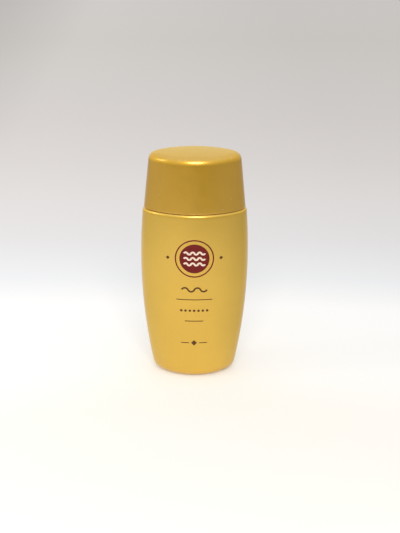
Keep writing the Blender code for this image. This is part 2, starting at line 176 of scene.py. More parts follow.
# From the fillet at the neck's foot over the lip and down the mouth
NECK_PROFILE = lay_out(
    *arc(NECK_RADIUS + NECK_FILLET, SHOULDER + NECK_FILLET, NECK_FILLET, -90, -180),
    (NECK_RADIUS, SHOULDER + NECK_FILLET + NECK_FOOT_SUPPORT),
    (NECK_RADIUS, NECK_LIP - LIP_ROUNDING - LIP_SUPPORT),
    *arc(NECK_RADIUS - LIP_ROUNDING, NECK_LIP - LIP_ROUNDING, LIP_ROUNDING, 0, 90),
    ((NECK_RADIUS + MOUTH_RADIUS) / 2, NECK_LIP),
    *arc(MOUTH_RADIUS + LIP_ROUNDING, NECK_LIP - LIP_ROUNDING, LIP_ROUNDING, 90, 180),
    (MOUTH_RADIUS, NECK_LIP - LIP_ROUNDING - LIP_SUPPORT),
    (MOUTH_RADIUS, SHOULDER_UNDERSIDE + NECK_FOOT_SUPPORT),
    (MOUTH_RADIUS, SHOULDER_UNDERSIDE),
)

# From the foot of the lining's bore over the bead and into its ceiling
BORE_PROFILE = lay_out(
    (LINING_BORE, LINING_FOOT),
    (LINING_BORE, LINING_FOOT + LINING_FOOT_SUPPORT),
    *bead(LINING_BORE, LINING_CEILING - BEAD_DROP),
    *arc(LINING_BORE - CEILING_ROUNDING, LINING_CEILING - CEILING_ROUNDING, CEILING_ROUNDING, 0, 90, 2),
    *((radius, LINING_CEILING) for radius in CEILING_RINGS),
)


# Choosing and shaping


def deselect_all():
    bpy.ops.object.select_all(action="DESELECT")


def pick(piece):
    """Makes the piece the only selected one, and the active one."""
    deselect_all()
    piece.select_set(True)
    bpy.context.view_layer.objects.active = piece


def select_mesh(action="SELECT"):
    bpy.ops.mesh.select_all(action=action)


def start_shaping(piece, mode="EDGE"):
    """Opens the piece in edit mode with nothing selected."""
    pick(piece)
    bpy.ops.object.mode_set(mode="EDIT")
    bpy.ops.mesh.select_mode(type=mode)
    select_mesh("DESELECT")


def stop_shaping():
    bpy.ops.object.mode_set(mode="OBJECT")


def select_faces(piece, wanted):
    """Selects the faces whose middle and normal pass the test."""
    bpy.ops.mesh.select_mode(type="FACE")
    select_mesh("DESELECT")
    mesh = bmesh.from_edit_mesh(piece.data)
    for face in mesh.faces:
        face.select_set(wanted(face.calc_center_median(), face.normal))
    bmesh.update_edit_mesh(piece.data)


def select_open_rims(piece, height):
    """Selects the open edges that lie at a height."""
    bpy.ops.mesh.select_mode(type="EDGE")
    select_mesh("DESELECT")
    mesh = bmesh.from_edit_mesh(piece.data)
    for edge in mesh.edges:
        level = all(abs(vert.co.z - height) < NEAR for vert in edge.verts)
        edge.select_set(edge.is_boundary and level)
    bmesh.update_edit_mesh(piece.data)


def cut_level(height):
    """Cuts a ring of edges into the open piece at a height."""
    select_mesh()
    bpy.ops.mesh.bisect(plane_co=(0, 0, height), plane_no=(0, 0, 1))


def face_outwards():
    """Turns all faces of the open piece outwards."""
    select_mesh()
    bpy.ops.mesh.normals_make_consistent(inside=False)


def turn_round_axis(angle):
    """Turns the selection round the bottle's axis. With no window, the operator turns the other way."""
    bpy.ops.transform.rotate(value=-angle, orient_axis="Z", center_override=(0, 0, 0))


def apply_modifier(piece, kind, **settings):
    pick(piece)
    modifier = piece.modifiers.new(kind.lower(), kind)
    for name, value in settings.items():
        setattr(modifier, name, value)
    bpy.ops.object.modifier_apply(modifier=modifier.name)


def shade(piece, degrees=40):
    pick(piece)
    bpy.ops.object.shade_smooth_by_angle(angle=math.radians(degrees))


def round_edges(piece, radius):
    """Rounds the piece's real edges."""
    limit = math.radians(30)
    apply_modifier(piece, "BEVEL", width=radius, segments=3, limit_method="ANGLE", angle_limit=limit)
    shade(piece)


def smooth_facets(piece, supports=(), crisp_degrees=50):
    """Smooths the faceted faces, and keeps the real edges crisp."""
    start_shaping(piece)
    for height in supports:
        cut_level(height)
    select_mesh("DESELECT")
    bpy.ops.mesh.edges_select_sharp(sharpness=math.radians(crisp_degrees))
    bpy.ops.transform.edge_crease(value=1.0)
    stop_shaping()
    apply_modifier(piece, "SUBSURF", levels=2, render_levels=2)
    shade(piece)


def settle(piece, name):
    """Names the piece and moves its place into its mesh."""
    piece.name = name
    piece.data.name = name
    pick(piece)
    bpy.ops.object.transform_apply(location=True, rotation=True, scale=True)


def copy_piece(piece, name, right=0.0, up=0.0, turn=0.0):
    """A copy with its own mesh, moved over the front or turned round the bottle's axis."""
    pick(piece)
    bpy.ops.object.duplicate()
    copy = bpy.context.active_object
    bpy.ops.transform.translate(value=(right, 0, up))
    if turn:
        turn_round_axis(turn)
    settle(copy, name)
    return copy


def repeat(first, count, right=0.0, up=0.0):
    """The piece and its copies at even steps over the front."""
    stem = first.name.rsplit("_", 1)[0]
    pieces = [first]
    for step in range(1, count):
        pieces.append(copy_piece(first, f"{stem}_{step + 1}", right * step, up * step))
    return pieces


def copy_node(node, name):
    """A merged copy of a solid, in four-sided faces where it can be."""
    pick(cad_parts[node])
    bpy.ops.object.duplicate()
    piece = bpy.context.active_object
    piece.name = name
    piece.data.name = name
    start_shaping(piece)
    select_mesh()
    bpy.ops.mesh.remove_doubles(threshold=MERGE)
    bpy.ops.mesh.tris_convert_to_quads(face_threshold=math.radians(15), shape_threshold=math.radians(60))
    stop_shaping()
    return piece


def hand_over(piece, body, slot, material, *nodes):
    """Dresses the finished piece, lets it ride on its body, and hides the solids it stands for."""
    piece.data.materials.clear()
    piece.data.materials.append(material)
    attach(piece, body)
    if nodes:
        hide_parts(*nodes)


# Material building

# The range that most values of a noise texture lie in
NOISE_RANGE = (0.3, 0.7)

COLOUR, FLOAT, VECTOR = "NodeSocketColor", "NodeSocketFloat", "NodeSocketVector"
WHITE = (1, 1, 1, 1)
BLACK = (0, 0, 0, 1)


def make_material(name):
    material = bpy.data.materials.new(name)
    material.use_nodes = True
    return material, material.node_tree, material.node_tree.nodes["Principled BSDF"]


def feed(tree, socket, value):
    """Gives a socket a plain value, or another node's output to read."""
    if isinstance(value, bpy.types.NodeSocket):
        tree.links.new(value, socket)
    else:
        socket.default_value = value


def add(tree, kind, inputs=None, **settings):
    made = tree.nodes.new(kind)
    for name, value in settings.items():
        setattr(made, name, value)
    for key, value in (inputs or {}).items():
        feed(tree, made.inputs[key], value)
    return made


def calculate(tree, operation, first, second=0.0, clamp=False):
    inputs = {0: first, 1: second}
    return add(tree, "ShaderNodeMath", inputs, operation=operation, use_clamp=clamp).outputs[0]


def total(tree, first, *others):
    for other in others:
        first = calculate(tree, "ADD", first, other)
    return first


def product(tree, first, *others):
    for other in others:
        first = calculate(tree, "MULTIPLY", first, other)
    return first


def mix_colour(tree, factor, first, second):
    return add(tree, "ShaderNodeMix", {0: factor, 6: first, 7: second}, data_type="RGBA").outputs[2]


def spread(tree, value, old_range, new_range=(0.0, 1.0)):
    """Maps a value from one range to another and keeps it inside."""
    low, high = old_range
    new_low, new_high = new_range
    inputs = {"Value": value, "From Min": low, "From Max": high, "To Min": new_low, "To Max": new_high}
    return add(tree, "ShaderNodeMapRange", inputs, clamp=True).outputs["Result"]


def noise(tree, place, scale, detail, roughness=0.5):
    inputs = {"Vector": place, "Scale": scale, "Detail": detail, "Roughness": roughness}
    return add(tree, "ShaderNodeTexNoise", inputs).outputs["Fac"]


def object_place(tree):
    return add(tree, "ShaderNodeTexCoord").outputs["Object"]


def part_of(tree, place, axis):
    return add(tree, "ShaderNodeSeparateXYZ", {0: place}).outputs[axis]


def make_group(name, inputs, outputs):
    """An empty node group with named sockets. Returns its tree, what it is given and what it puts out."""
    tree = bpy.data.node_groups.new(name, "ShaderNodeTree")
    for label, kind, value in inputs:
        socket = tree.interface.new_socket(label, in_out="INPUT", socket_type=kind)
        if value is not None:
            socket.default_value = value
    for label, kind in outputs:
        tree.interface.new_socket(label, in_out="OUTPUT", socket_type=kind)
    return tree, tree.nodes.new("NodeGroupInput").outputs, tree.nodes.new("NodeGroupOutput").inputs


def use_group(tree, group, inputs):
    return add(tree, "ShaderNodeGroup", inputs, node_tree=group).outputs


def raise_relief(tree, shader, height, distance):
    relief = add(tree, "ShaderNodeBump", {"Height": height, "Distance": distance, "Strength": 1.0})
    feed(tree, shader.inputs["Normal"], relief.outputs["Normal"])


def set_plain(shader, values):
    """Sets what is the same all over the surface on the shader's own sockets."""
    for label, value in values.items():
        shader.inputs[label].default_value = value


# Effects that several materials share

# Pearl: how deep its colour gets, how its gloss changes, and the flakes' height beside the orange peel's
PEARL_DEPTHS = (0.45, 0.8)
PEARL_GLOSS_CHANGE = (-0.025, 0.025)
FLAKE_HEIGHT = 0.12

# The ranges of noise over which worn patches and clouds come up, and how the moulded gloss changes
WEAR_PATCHES = (0.56, 0.66)
CLOUDS = (0.35, 0.65)
MOULDED_GLOSS_CHANGE = (-0.05, 0.05)


def pearl_group():
    """Pearl gold: fine flakes, slow changes of depth, uneven gloss and a faint orange peel."""
    inputs = (
        ("Place", VECTOR, None),
        ("Pearl", COLOUR, WHITE),
        ("Deep Pearl", COLOUR, WHITE),
        ("Flake Scale", FLOAT, 9000.0),
        ("Flake Contrast", FLOAT, 0.5),
        ("Roughness", FLOAT, 0.35),
    )
    outputs = (("Colour", COLOUR), ("Roughness", FLOAT), ("Height", FLOAT))
    tree, given, out = make_group("pearl gold", inputs, outputs)
    place = given["Place"]
    flakes = add(tree, "ShaderNodeTexVoronoi", {"Vector": place, "Scale": given["Flake Scale"]})
    flake = add(tree, "ShaderNodeSeparateColor", {"Color": flakes.outputs["Color"]}).outputs[0]
    sparkle = product(tree, calculate(tree, "SUBTRACT", flake, 0.5), given["Flake Contrast"])
    depth = spread(tree, noise(tree, place, scale=55.0, detail=3.0), NOISE_RANGE, PEARL_DEPTHS)
    share = calculate(tree, "ADD", depth, sparkle, clamp=True)
    feed(tree, out["Colour"], mix_colour(tree, share, given["Deep Pearl"], given["Pearl"]))
    uneven = spread(tree, noise(tree, place, scale=240.0, detail=3.0), NOISE_RANGE, PEARL_GLOSS_CHANGE)
    feed(tree, out["Roughness"], total(tree, given["Roughness"], uneven))
    peel = noise(tree, place, scale=900.0, detail=1.0)
    feed(tree, out["Height"], total(tree, peel, product(tree, flake, FLAKE_HEIGHT)))
    return tree


def edge_wear_group():
    """Handling wear close to one height: patchy, and strongest on the edge itself."""
    inputs = (
        ("Place", VECTOR, None),
        ("Edge Height", FLOAT, 0.0),
        ("Width", FLOAT, 0.001),
        ("Amount", FLOAT, 0.5),
    )
    tree, given, out = make_group("edge wear", inputs, (("Mask", FLOAT),))
    place = given["Place"]
    height = part_of(tree, place, "Z")
    away = calculate(tree, "ABSOLUTE", calculate(tree, "SUBTRACT", height, given["Edge Height"]))
    near = calculate(tree, "SUBTRACT", 1.0, calculate(tree, "DIVIDE", away, given["Width"]), clamp=True)
    patches = spread(tree, noise(tree, place, scale=620.0, detail=6.0, roughness=0.7), WEAR_PATCHES)
    feed(tree, out["Mask"], product(tree, near, patches, given["Amount"]))
    return tree


def dust_group():
    """Sparse pale specks, as dust leaves on a glossy coat."""
    inputs = (
        ("Place", VECTOR, None),
        ("Scale", FLOAT, 420.0),
        ("Size", FLOAT, 0.08),
        ("Share", FLOAT, 0.05),
    )
    tree, given, out = make_group("dust specks", inputs, (("Mask", FLOAT),))
    cells = add(tree, "ShaderNodeTexVoronoi", {"Vector": given["Place"], "Scale": given["Scale"]})
    chance = add(tree, "ShaderNodeSeparateColor", {"Color": cells.outputs["Color"]}).outputs[1]
    chosen = calculate(tree, "LESS_THAN", chance, given["Share"])
    speck = calculate(tree, "LESS_THAN", cells.outputs["Distance"], given["Size"])
    feed(tree, out["Mask"], product(tree, chosen, speck))
    return tree


def moulded_group():
    """Moulded plastic: faint clouding, fine grain and slightly uneven gloss."""
    inputs = (
        ("Place", VECTOR, None),
        ("Plastic", COLOUR, WHITE),
        ("Cloud", COLOUR, WHITE),
        ("Grain Scale", FLOAT, 2500.0),
        ("Roughness", FLOAT, 0.4),
    )
    outputs = (("Colour", COLOUR), ("Roughness", FLOAT), ("Height", FLOAT))
    tree, given, out = make_group("moulded plastic", inputs, outputs)
    clouds = spread(tree, noise(tree, given["Place"], scale=190.0, detail=4.0), CLOUDS)
    feed(tree, out["Colour"], mix_colour(tree, clouds, given["Plastic"], given["Cloud"]))
    grain = noise(tree, given["Place"], given["Grain Scale"], detail=3.0)
    uneven = spread(tree, grain, NOISE_RANGE, MOULDED_GLOSS_CHANGE)
    feed(tree, out["Roughness"], total(tree, given["Roughness"], uneven))
    feed(tree, out["Height"], grain)
    return tree


PEARL = pearl_group()
EDGE_WEAR = edge_wear_group()
DUST = dust_group()
MOULDED = moulded_group()


# Materials

WORN_GOLD = (0.86, 0.66, 0.32, 1)
GOLDEN_DUST = (0.95, 0.88, 0.70, 1)
GREY_DUST = (0.62, 0.60, 0.55, 1)
DUST_COVER = 0.4

# Roughness of the gold, and what wear adds to it
GOLD_ROUGHNESS = 0.34
WORN_ROUGHNESS = 0.15

# Roughness of the steel off and on its scratches, and of thin and full ink
STEEL_ROUGHNESS = (0.08, 0.2)
INK_ROUGHNESS = (0.5, 0.42)

# The ranges of noise over which scratches come up and the ink covers
SCRATCHES = (0.35, 0.65)
INK_COVER = (0.42, 0.6)

# Heights of the reliefs
PEARL_RELIEF = 0.000012
MOULDED_RELIEF = 0.00001
FOAM_RELIEF = 0.00004
SCRATCH_RELIEF = 0.000003
INK_RELIEF = 0.000004

# The parting line up the bottle's sides: half its width, and its height in pearl reliefs
PARTING_HALF_WIDTH = 0.00016
PARTING_HEIGHT = 3.0

# Edges that handling wears: the edge's height, the worn band's width, and how much of it is worn
BASE_WEAR = (0.0012, 0.0016, 0.5)
SHOULDER_WEAR = (SHOULDER - 0.0006, 0.0005, 0.35)
CAP_FOOT_WEAR = (CAP_FOOT, 0.0006, 0.5)
CAP_TOP_WEAR = (CAP_TOP - 0.0018, 0.0012, 0.35)


def pearl_gold(name, pearl, deep, edges, parting_line=False):
    """Pearl gold plastic under a thin clear coat, worn a little at the given edges."""
    material, tree, shader = make_material(name)
    place = object_place(tree)
    inputs = {"Place": place, "Pearl": pearl, "Deep Pearl": deep, "Roughness": GOLD_ROUGHNESS}
    look = use_group(tree, PEARL, inputs)
    worn = 0.0
    for edge_height, width, amount in edges:
        values = {"Place": place, "Edge Height": edge_height, "Width": width, "Amount": amount}
        worn = calculate(tree, "MAXIMUM", worn, use_group(tree, EDGE_WEAR, values)["Mask"])
    dust = use_group(tree, DUST, {"Place": place})["Mask"]
    colour = mix_colour(tree, worn, look["Colour"], WORN_GOLD)
    colour = mix_colour(tree, product(tree, dust, DUST_COVER), colour, GOLDEN_DUST)
    feed(tree, shader.inputs["Base Color"], colour)
    roughness = calculate(tree, "ADD", look["Roughness"], product(tree, worn, WORN_ROUGHNESS), clamp=True)
    feed(tree, shader.inputs["Roughness"], roughness)
    height = look["Height"]
    if parting_line:
        from_line = calculate(tree, "ABSOLUTE", part_of(tree, place, "Y"))
        line = spread(tree, from_line, (0.0, PARTING_HALF_WIDTH), (PARTING_HEIGHT, 0.0))
        height = total(tree, height, line)
    raise_relief(tree, shader, height, PEARL_RELIEF)
    set_plain(shader, {"Metallic": 0.92, "Coat Weight": 0.45, "Coat Roughness": 0.22, "Coat IOR": 2.2})
    return material


def plastic(name, colour, cloud, roughness, grain_scale=2500.0, relief=MOULDED_RELIEF):
    """Plain moulded plastic with a little grey dust."""
    material, tree, shader = make_material(name)
    place = object_place(tree)
    inputs = {"Place": place, "Plastic": colour, "Cloud": cloud, "Roughness": roughness}
    look = use_group(tree, MOULDED, {**inputs, "Grain Scale": grain_scale})
    dust = use_group(tree, DUST, {"Place": place, "Share": 0.03})["Mask"]
    dusty = mix_colour(tree, product(tree, dust, DUST_COVER), look["Colour"], GREY_DUST)
    feed(tree, shader.inputs["Base Color"], dusty)
    feed(tree, shader.inputs["Roughness"], look["Roughness"])
    raise_relief(tree, shader, look["Height"], relief)
    return material


def polished_steel(name, dark, light):
    """Polished steel with fine scratches."""
    material, tree, shader = make_material(name)
    scratches = noise(tree, object_place(tree), scale=5200.0, detail=4.0, roughness=0.7)
    tone = mix_colour(tree, spread(tree, scratches, SCRATCHES), dark, light)
    feed(tree, shader.inputs["Base Color"], tone)
    feed(tree, shader.inputs["Roughness"], spread(tree, scratches, NOISE_RANGE, STEEL_ROUGHNESS))
    raise_relief(tree, shader, scratches, SCRATCH_RELIEF)
    set_plain(shader, {"Metallic": 1.0})
    return material


def ink(name, colour, thin_colour):
    """Screen-print ink, whose cover is slightly uneven."""
    material, tree, shader = make_material(name)
    patches = noise(tree, object_place(tree), scale=2600.0, detail=4.0, roughness=0.7)
    cover = spread(tree, patches, INK_COVER)
    feed(tree, shader.inputs["Base Color"], mix_colour(tree, cover, thin_colour, colour))
    feed(tree, shader.inputs["Roughness"], spread(tree, cover, (0.0, 1.0), INK_ROUGHNESS))
    raise_relief(tree, shader, cover, INK_RELIEF)
    set_plain(shader, {"Specular IOR Level": 0.2})
    return material


body_gold = pearl_gold(
    "gold_body_pearl",
    pearl=(0.77, 0.483, 0.040, 1),
    deep=(0.67, 0.404, 0.027, 1),
    edges=(BASE_WEAR, SHOULDER_WEAR),
    parting_line=True,
)
cap_gold = pearl_gold(
    "gold_cap_pearl",
    pearl=(0.675, 0.380, 0.011, 1),
    deep=(0.58, 0.318, 0.007, 1),
    edges=(CAP_FOOT_WEAR, CAP_TOP_WEAR),
)
plug_white = plastic(
    "plug_plastic",
    colour=(0.80, 0.80, 0.76, 1),
    cloud=(0.85, 0.85, 0.82, 1),
    roughness=0.38,
)
lining_white = plastic(
    "cap_lining_plastic",
    colour=(0.84, 0.83, 0.79, 1),
    cloud=(0.88, 0.87, 0.84, 1),
    roughness=0.42,
)
disc_foam = plastic(
    "disc_foam",
    colour=(0.84, 0.84, 0.81, 1),
    cloud=(0.90, 0.90, 0.88, 1),
    roughness=0.75,
    grain_scale=4200.0,
    relief=FOAM_RELIEF,
)
ball_steel = polished_steel("ball_steel", dark=(0.60, 0.60, 0.61, 1), light=(0.72, 0.72, 0.73, 1))
maroon_ink = ink("maroon_ink", colour=(0.13, 0.007, 0.007, 1), thin_colour=(0.18, 0.014, 0.010, 1))
cream_ink = ink("cream_ink", colour=(0.90, 0.74, 0.66, 1), thin_colour=(0.82, 0.62, 0.45, 1))
brown_ink = ink("brown_ink", colour=(0.085, 0.030, 0.008, 1), thin_colour=(0.14, 0.06, 0.015, 1))


# Turned walls and threads, which the bottle and the cap's lining share


def follow_profile(profile):
    """Extrudes the selected ring through a profile's radii and heights."""
    radius, height = profile[0]
    for next_radius, next_height in profile[1:]:
        bpy.ops.mesh.extrude_edges_move()
        share = next_radius / radius
        bpy.ops.transform.resize(value=(share, share, 1), center_override=(0, 0, 0))
        bpy.ops.transform.translate(value=(0, 0, next_height - height))
        radius, height = next_radius, next_height


def draw_thread_profile(name, start, root, crest):
    """An open outline of four corners, wide at its root and narrow on its crest."""
    deselect_all()
    bpy.ops.mesh.primitive_plane_add(size=1, location=(0, 0, 0), rotation=STANDING)
    outline = bpy.context.active_object
    settle(outline, name)
    start_shaping(outline, "FACE")
    select_mesh()
    bpy.ops.mesh.delete(type="ONLY_FACE")
    stop_shaping()
    for corner in outline.data.vertices:
        on_crest = corner.co.x > 0
        width = THREAD_CREST_WIDTH if on_crest else THREAD_ROOT_WIDTH
        corner.co.x = crest if on_crest else root
        corner.co.z = start + math.copysign(width / 2, corner.co.z)
    return outline


def let_run_out(thread, steps, wall, crest):
    """Sinks the crest towards the wall at both ends of the thread."""
    for vert in thread.data.vertices:
        reach = math.hypot(vert.co.x, vert.co.y)
        if abs(reach - crest) < NEAR:
            way = (vert.index // PROFILE_CORNERS) / steps
            fullness = min(1.0, THREAD_END_SHARE + min(way, 1 - way) / THREAD_RUN_OUT_SHARE)
            share = (wall + (crest - wall) * fullness) / reach
            vert.co.x *= share
            vert.co.y *= share


def make_thread(name, start, turns, root, wall, crest):
    """Screws a thread's profile up a round wall, lets it run out at both ends, and closes them."""
    steps = round(THREAD_POINTS * turns)
    thread = draw_thread_profile(name, start, root, crest)
    apply_modifier(
        thread,
        "SCREW",
        angle=2 * math.pi * turns,
        screw_offset=THREAD_PITCH * turns,
        steps=steps,
        render_steps=steps,
    )
    let_run_out(thread, steps, wall, crest)
    start_shaping(thread)
    bpy.ops.mesh.select_non_manifold()
    bpy.ops.mesh.fill_holes(sides=0)
    face_outwards()
    stop_shaping()
    round_edges(thread, THREAD_ROUNDING)
    return thread


# Bottle: the solid's wall, with the neck drawn up again from the shoulder in one smooth piece


def cut_neck_off(piece):
    """Takes the neck and both faces of the shoulder away, and leaves the wall's two open rims."""
    neck_reach = NECK_RADIUS + NECK_FILLET + NECK_CUT_MARGIN

    def on_shoulder(middle, normal):
        on_neck = math.hypot(middle.x, middle.y) < neck_reach
        return middle.z > SHOULDER_UNDERSIDE - NEAR and (on_neck or abs(normal.z) > FLATNESS)

    start_shaping(piece)
    select_faces(piece, on_shoulder)
    bpy.ops.mesh.delete(type="FACE")
    stop_shaping()


def draw_neck(piece):
    """Draws a circle up through the neck's profile and joins both its ends to the shoulder's rims."""
    start_shaping(piece)
    radius, height = NECK_PROFILE[0]
    bpy.ops.mesh.primitive_circle_add(vertices=RING_POINTS, radius=radius, location=(0, 0, height))
    follow_profile(NECK_PROFILE)
    for level in (SHOULDER, SHOULDER_UNDERSIDE):
        select_open_rims(piece, level)
        bpy.ops.mesh.bridge_edge_loops(number_cuts=2, interpolation="LINEAR")
    select_mesh()
    bpy.ops.mesh.remove_doubles(threshold=MERGE)
    face_outwards()
    stop_shaping()


def make_stop(name):
    """A small block on the shoulder with rounded edges and a drafted top."""
    deselect_all()
    bpy.ops.mesh.primitive_cube_add(size=1, location=STOP_MIDDLE)
    stop = bpy.context.active_object
    bpy.ops.transform.resize(value=STOP_SIZE)
    settle(stop, name)
    start_shaping(stop)
    select_faces(stop, lambda middle, normal: normal.z > TOP_FACING)
    bpy.ops.transform.resize(value=STOP_TOP_SHARES, center_override=STOP_MIDDLE)
    select_mesh()
    turn_round_axis(STOP_ANGLE)
    stop_shaping()
    round_edges(stop, STOP_ROUNDING)
    return stop


bottle = copy_node("bottle_body", "bottle")
cut_neck_off(bottle)
draw_neck(bottle)
smooth_facets(bottle, supports=(SHOULDER - SHOULDER_SUPPORT,))
neck_thread = make_thread(
    "neck_thread",
    NECK_THREAD_START,
    NECK_THREAD_TURNS,
    root=NECK_RADIUS - NECK_THREAD_SINK,
    wall=NECK_RADIUS,
    crest=NECK_RADIUS + THREAD_DEPTH,
)
first_stop = make_stop("neck_stop_1")
second_stop = copy_piece(first_stop, "neck_stop_2", turn=math.pi)
for piece in (bottle, neck_thread, first_stop, second_stop):
    hand_over(piece, "bottle", "gold_body", body_gold, "bottle_body")


# Cap and its lining


def close_seam(piece):
    """Makes the cap's foot crisper and lowers it towards the shoulder, as a tightened cap sits."""
    start_shaping(piece, "VERT")
    mesh = bmesh.from_edit_mesh(piece.data)
    for vert in mesh.verts:
        vert.select_set(vert.co.z < CAP_FOOT + FOOT_ZONE)
    mesh.select_flush_mode()
    bmesh.update_edit_mesh(piece.data)
    bpy.ops.transform.resize(value=(1, 1, FOOT_HEIGHT_SHARE), center_override=(0, 0, CAP_FOOT))
    bpy.ops.transform.translate(value=(0, 0, -SEAM_DROP))
    stop_shaping()


def redraw_bore(piece):
    """Takes the wall of the lining's bore away with all that is on it, and draws it again from its foot."""

    def in_bore(middle, normal):
        inside = math.hypot(middle.x, middle.y) < LINING_BORE + NEAR
        return inside and LINING_FOOT + NEAR < middle.z < LINING_CEILING + NEAR

    start_shaping(piece)
    cut_level(LINING_FOOT)
    select_faces(piece, in_bore)
    bpy.ops.mesh.delete(type="FACE")
    select_open_rims(piece, LINING_FOOT)
    follow_profile(BORE_PROFILE)
    bpy.ops.mesh.edge_face_add()
    bpy.ops.mesh.poke()
    face_outwards()
    stop_shaping()


cap = copy_node("cap_shell", "cap")
close_seam(cap)
smooth_facets(cap, supports=(CAP_TOP - CAP_TOP_SUPPORT, CAP_FOOT + CAP_FOOT_SUPPORT))
hand_over(cap, "cap", "gold_cap", cap_gold, "cap_shell")

lining = copy_node("cap_inner", "cap_lining")
redraw_bore(lining)
shade(lining, degrees=18)
apply_modifier(lining, "WEIGHTED_NORMAL", keep_sharp=True, weight=100)
lining_thread = make_thread(
    "lining_thread",
    LINING_THREAD_START,
    LINING_THREAD_TURNS,
    root=LINING_BORE + LINING_THREAD_SINK,
    wall=LINING_BORE,
    crest=LINING_BORE - THREAD_DEPTH,
)
for piece in (lining, lining_thread):
    hand_over(piece, "cap", "white_cap_lining", lining_white, "cap_inner")


# The pieces inside

plug = copy_node("orifice_plug", "plug")
smooth_facets(plug, crisp_degrees=30)
hand_over(plug, "bottle", "white_plug", plug_white, "orifice_plug")

disc = copy_node("sealing_disc", "disc")
smooth_facets(disc, crisp_degrees=30)
hand_over(disc, "disc", "white_foam", disc_foam, "sealing_disc")

ball = copy_node("mixing_ball", "ball")
smooth_facets(ball)
hand_over(ball, "ball", "steel", ball_steel, "mixing_ball")


# The print on the front: a round badge with three waves, and rules, dots and diamonds below and beside it

# The plane before the front in which prints are drawn, the ink's thickness, and how high its two layers lie
PRINT_START = -0.0235
INK_THICKNESS = 0.00002
FIRST_LAYER = 0.00001
SECOND_LAYER = 0.00004

# Heights of the rows
BADGE_HEIGHT = 0.0595
LOW_WAVE_HEIGHT = 0.0445
LONG_RULE_HEIGHT = 0.0396
DOT_ROW_HEIGHT = 0.0342
MIDDLE_RULE_HEIGHT = 0.0290
FOOT_ROW_HEIGHT = 0.0180

# The badge
BADGE_RADIUS = 0.0069
RIM_RADIUS = 0.0090
RIM_WIDTH = 0.0006
BADGE_DIAMOND_RADIUS = 0.0009
BADGE_DIAMOND_PLACE = 0.0122

# Waves, whose arcs bend by this much to either side of upright
WAVE_BEND = math.radians(65)
WAVE_STEPS = 14
BADGE_WAVE_ARCS = 6
BADGE_WAVE_RADIUS = 0.00088
BADGE_WAVE_WIDTH = 0.00085
BADGE_WAVE_COUNT = 3
BADGE_WAVE_SPACING = 0.0026
LOW_WAVE_ARCS = 4
LOW_WAVE_RADIUS = 0.0016
LOW_WAVE_WIDTH = 0.0008

# Rules, dots and the diamond at the foot
RULE_WIDTH = 0.0004
RULE_CUTS = 24
LONG_RULE_LENGTH = 0.0165
MIDDLE_RULE_LENGTH = 0.0085
FOOT_RULE_LENGTH = 0.0036
FOOT_RULE_PLACE = 0.0042
FOOT_DIAMOND_RADIUS = 0.0014
DOT_COUNT = 7
DOT_RADIUS = 0.0006
DOT_SPACING = 0.0020


def face_front(piece):
    """Turns the faces of a flat print towards -Y."""
    start_shaping(piece)
    select_faces(piece, lambda middle, normal: normal.y > 0)
    bpy.ops.mesh.flip_normals()
    stop_shaping()


def print_piece(piece, material, lift=FIRST_LAYER):
    """Wraps a flat print on the bottle's front, gives the ink its thickness, and lets it ride."""
    face_front(piece)
    apply_modifier(
        piece,
        "SHRINKWRAP",
        target=bottle,
        wrap_method="PROJECT",
        use_project_y=True,
        use_positive_direction=True,
        use_negative_direction=False,
        offset=lift,
        wrap_mode="ABOVE_SURFACE",
    )
    apply_modifier(piece, "SOLIDIFY", thickness=INK_THICKNESS, offset=1.0)
    shade(piece)
    hand_over(piece, "bottle", "gold_body", material)


def draw_round(name, radius, height, x=0.0, inner_radius=0.0, steps=1, points=96):
    """A flat ring, or a disc where the inner radius is nothing, drawn in from its rim step by step."""
    deselect_all()
    centre = (x, PRINT_START, height)
    bpy.ops.mesh.primitive_circle_add(vertices=points, radius=radius, location=centre, rotation=STANDING)
    piece = bpy.context.active_object
    bpy.ops.object.mode_set(mode="EDIT")
    bpy.ops.mesh.select_mode(type="EDGE")
    select_mesh()
    now = radius
    for step in range(1, steps + 1):
        wanted = radius + (inner_radius - radius) * step / steps
        if wanted < MERGE:
            bpy.ops.mesh.edge_face_add()
            bpy.ops.mesh.poke()
            break
        bpy.ops.mesh.extrude_edges_move()
        bpy.ops.transform.resize(value=(wanted / now, 1, wanted / now), center_override=centre)
        now = wanted
    stop_shaping()
    settle(piece, name)
    return piece


def draw_rule(name, length, height, x=0.0):
    """A thin straight rule with square ends."""
    deselect_all()
    middle = (x, PRINT_START, height)
    bpy.ops.mesh.primitive_plane_add(size=1, location=middle, rotation=STANDING)
    piece = bpy.context.active_object
    settle(piece, name)
    start_shaping(piece)
    select_mesh()
    bpy.ops.transform.resize(value=(length, 1, RULE_WIDTH), center_override=middle)
    bpy.ops.mesh.subdivide(number_cuts=RULE_CUTS)
    stop_shaping()
    return piece


def draw_wave(name, arcs, radius, width, height):
    """A ribbon of arcs that curve up and down in turn, spun one after another from a short stroke."""
    reach = 2 * radius * math.sin(WAVE_BEND)
    start_x = -arcs * reach / 2
    start = (start_x, PRINT_START, height)
    deselect_all()
    bpy.ops.mesh.primitive_plane_add(size=1, location=start, rotation=STANDING)
    piece = bpy.context.active_object
    settle(piece, name)
    start_shaping(piece)
    select_mesh()
    bpy.ops.transform.resize(value=(0, 1, width), center_override=start)
    bpy.ops.mesh.remove_doubles(threshold=MERGE)
    bpy.ops.transform.rotate(value=WAVE_BEND, orient_axis="Y", center_override=start)
    for arc_number in range(arcs):
        side = 1 if arc_number % 2 else -1
        centre_x = start_x + reach * (arc_number + 0.5)
        centre = (centre_x, PRINT_START, height + side * radius * math.cos(WAVE_BEND))
        bpy.ops.mesh.spin(steps=WAVE_STEPS, angle=side * 2 * WAVE_BEND, center=centre, axis=(0, 1, 0))
    select_mesh()
    bpy.ops.mesh.remove_doubles(threshold=MERGE)
    stop_shaping()
    return piece


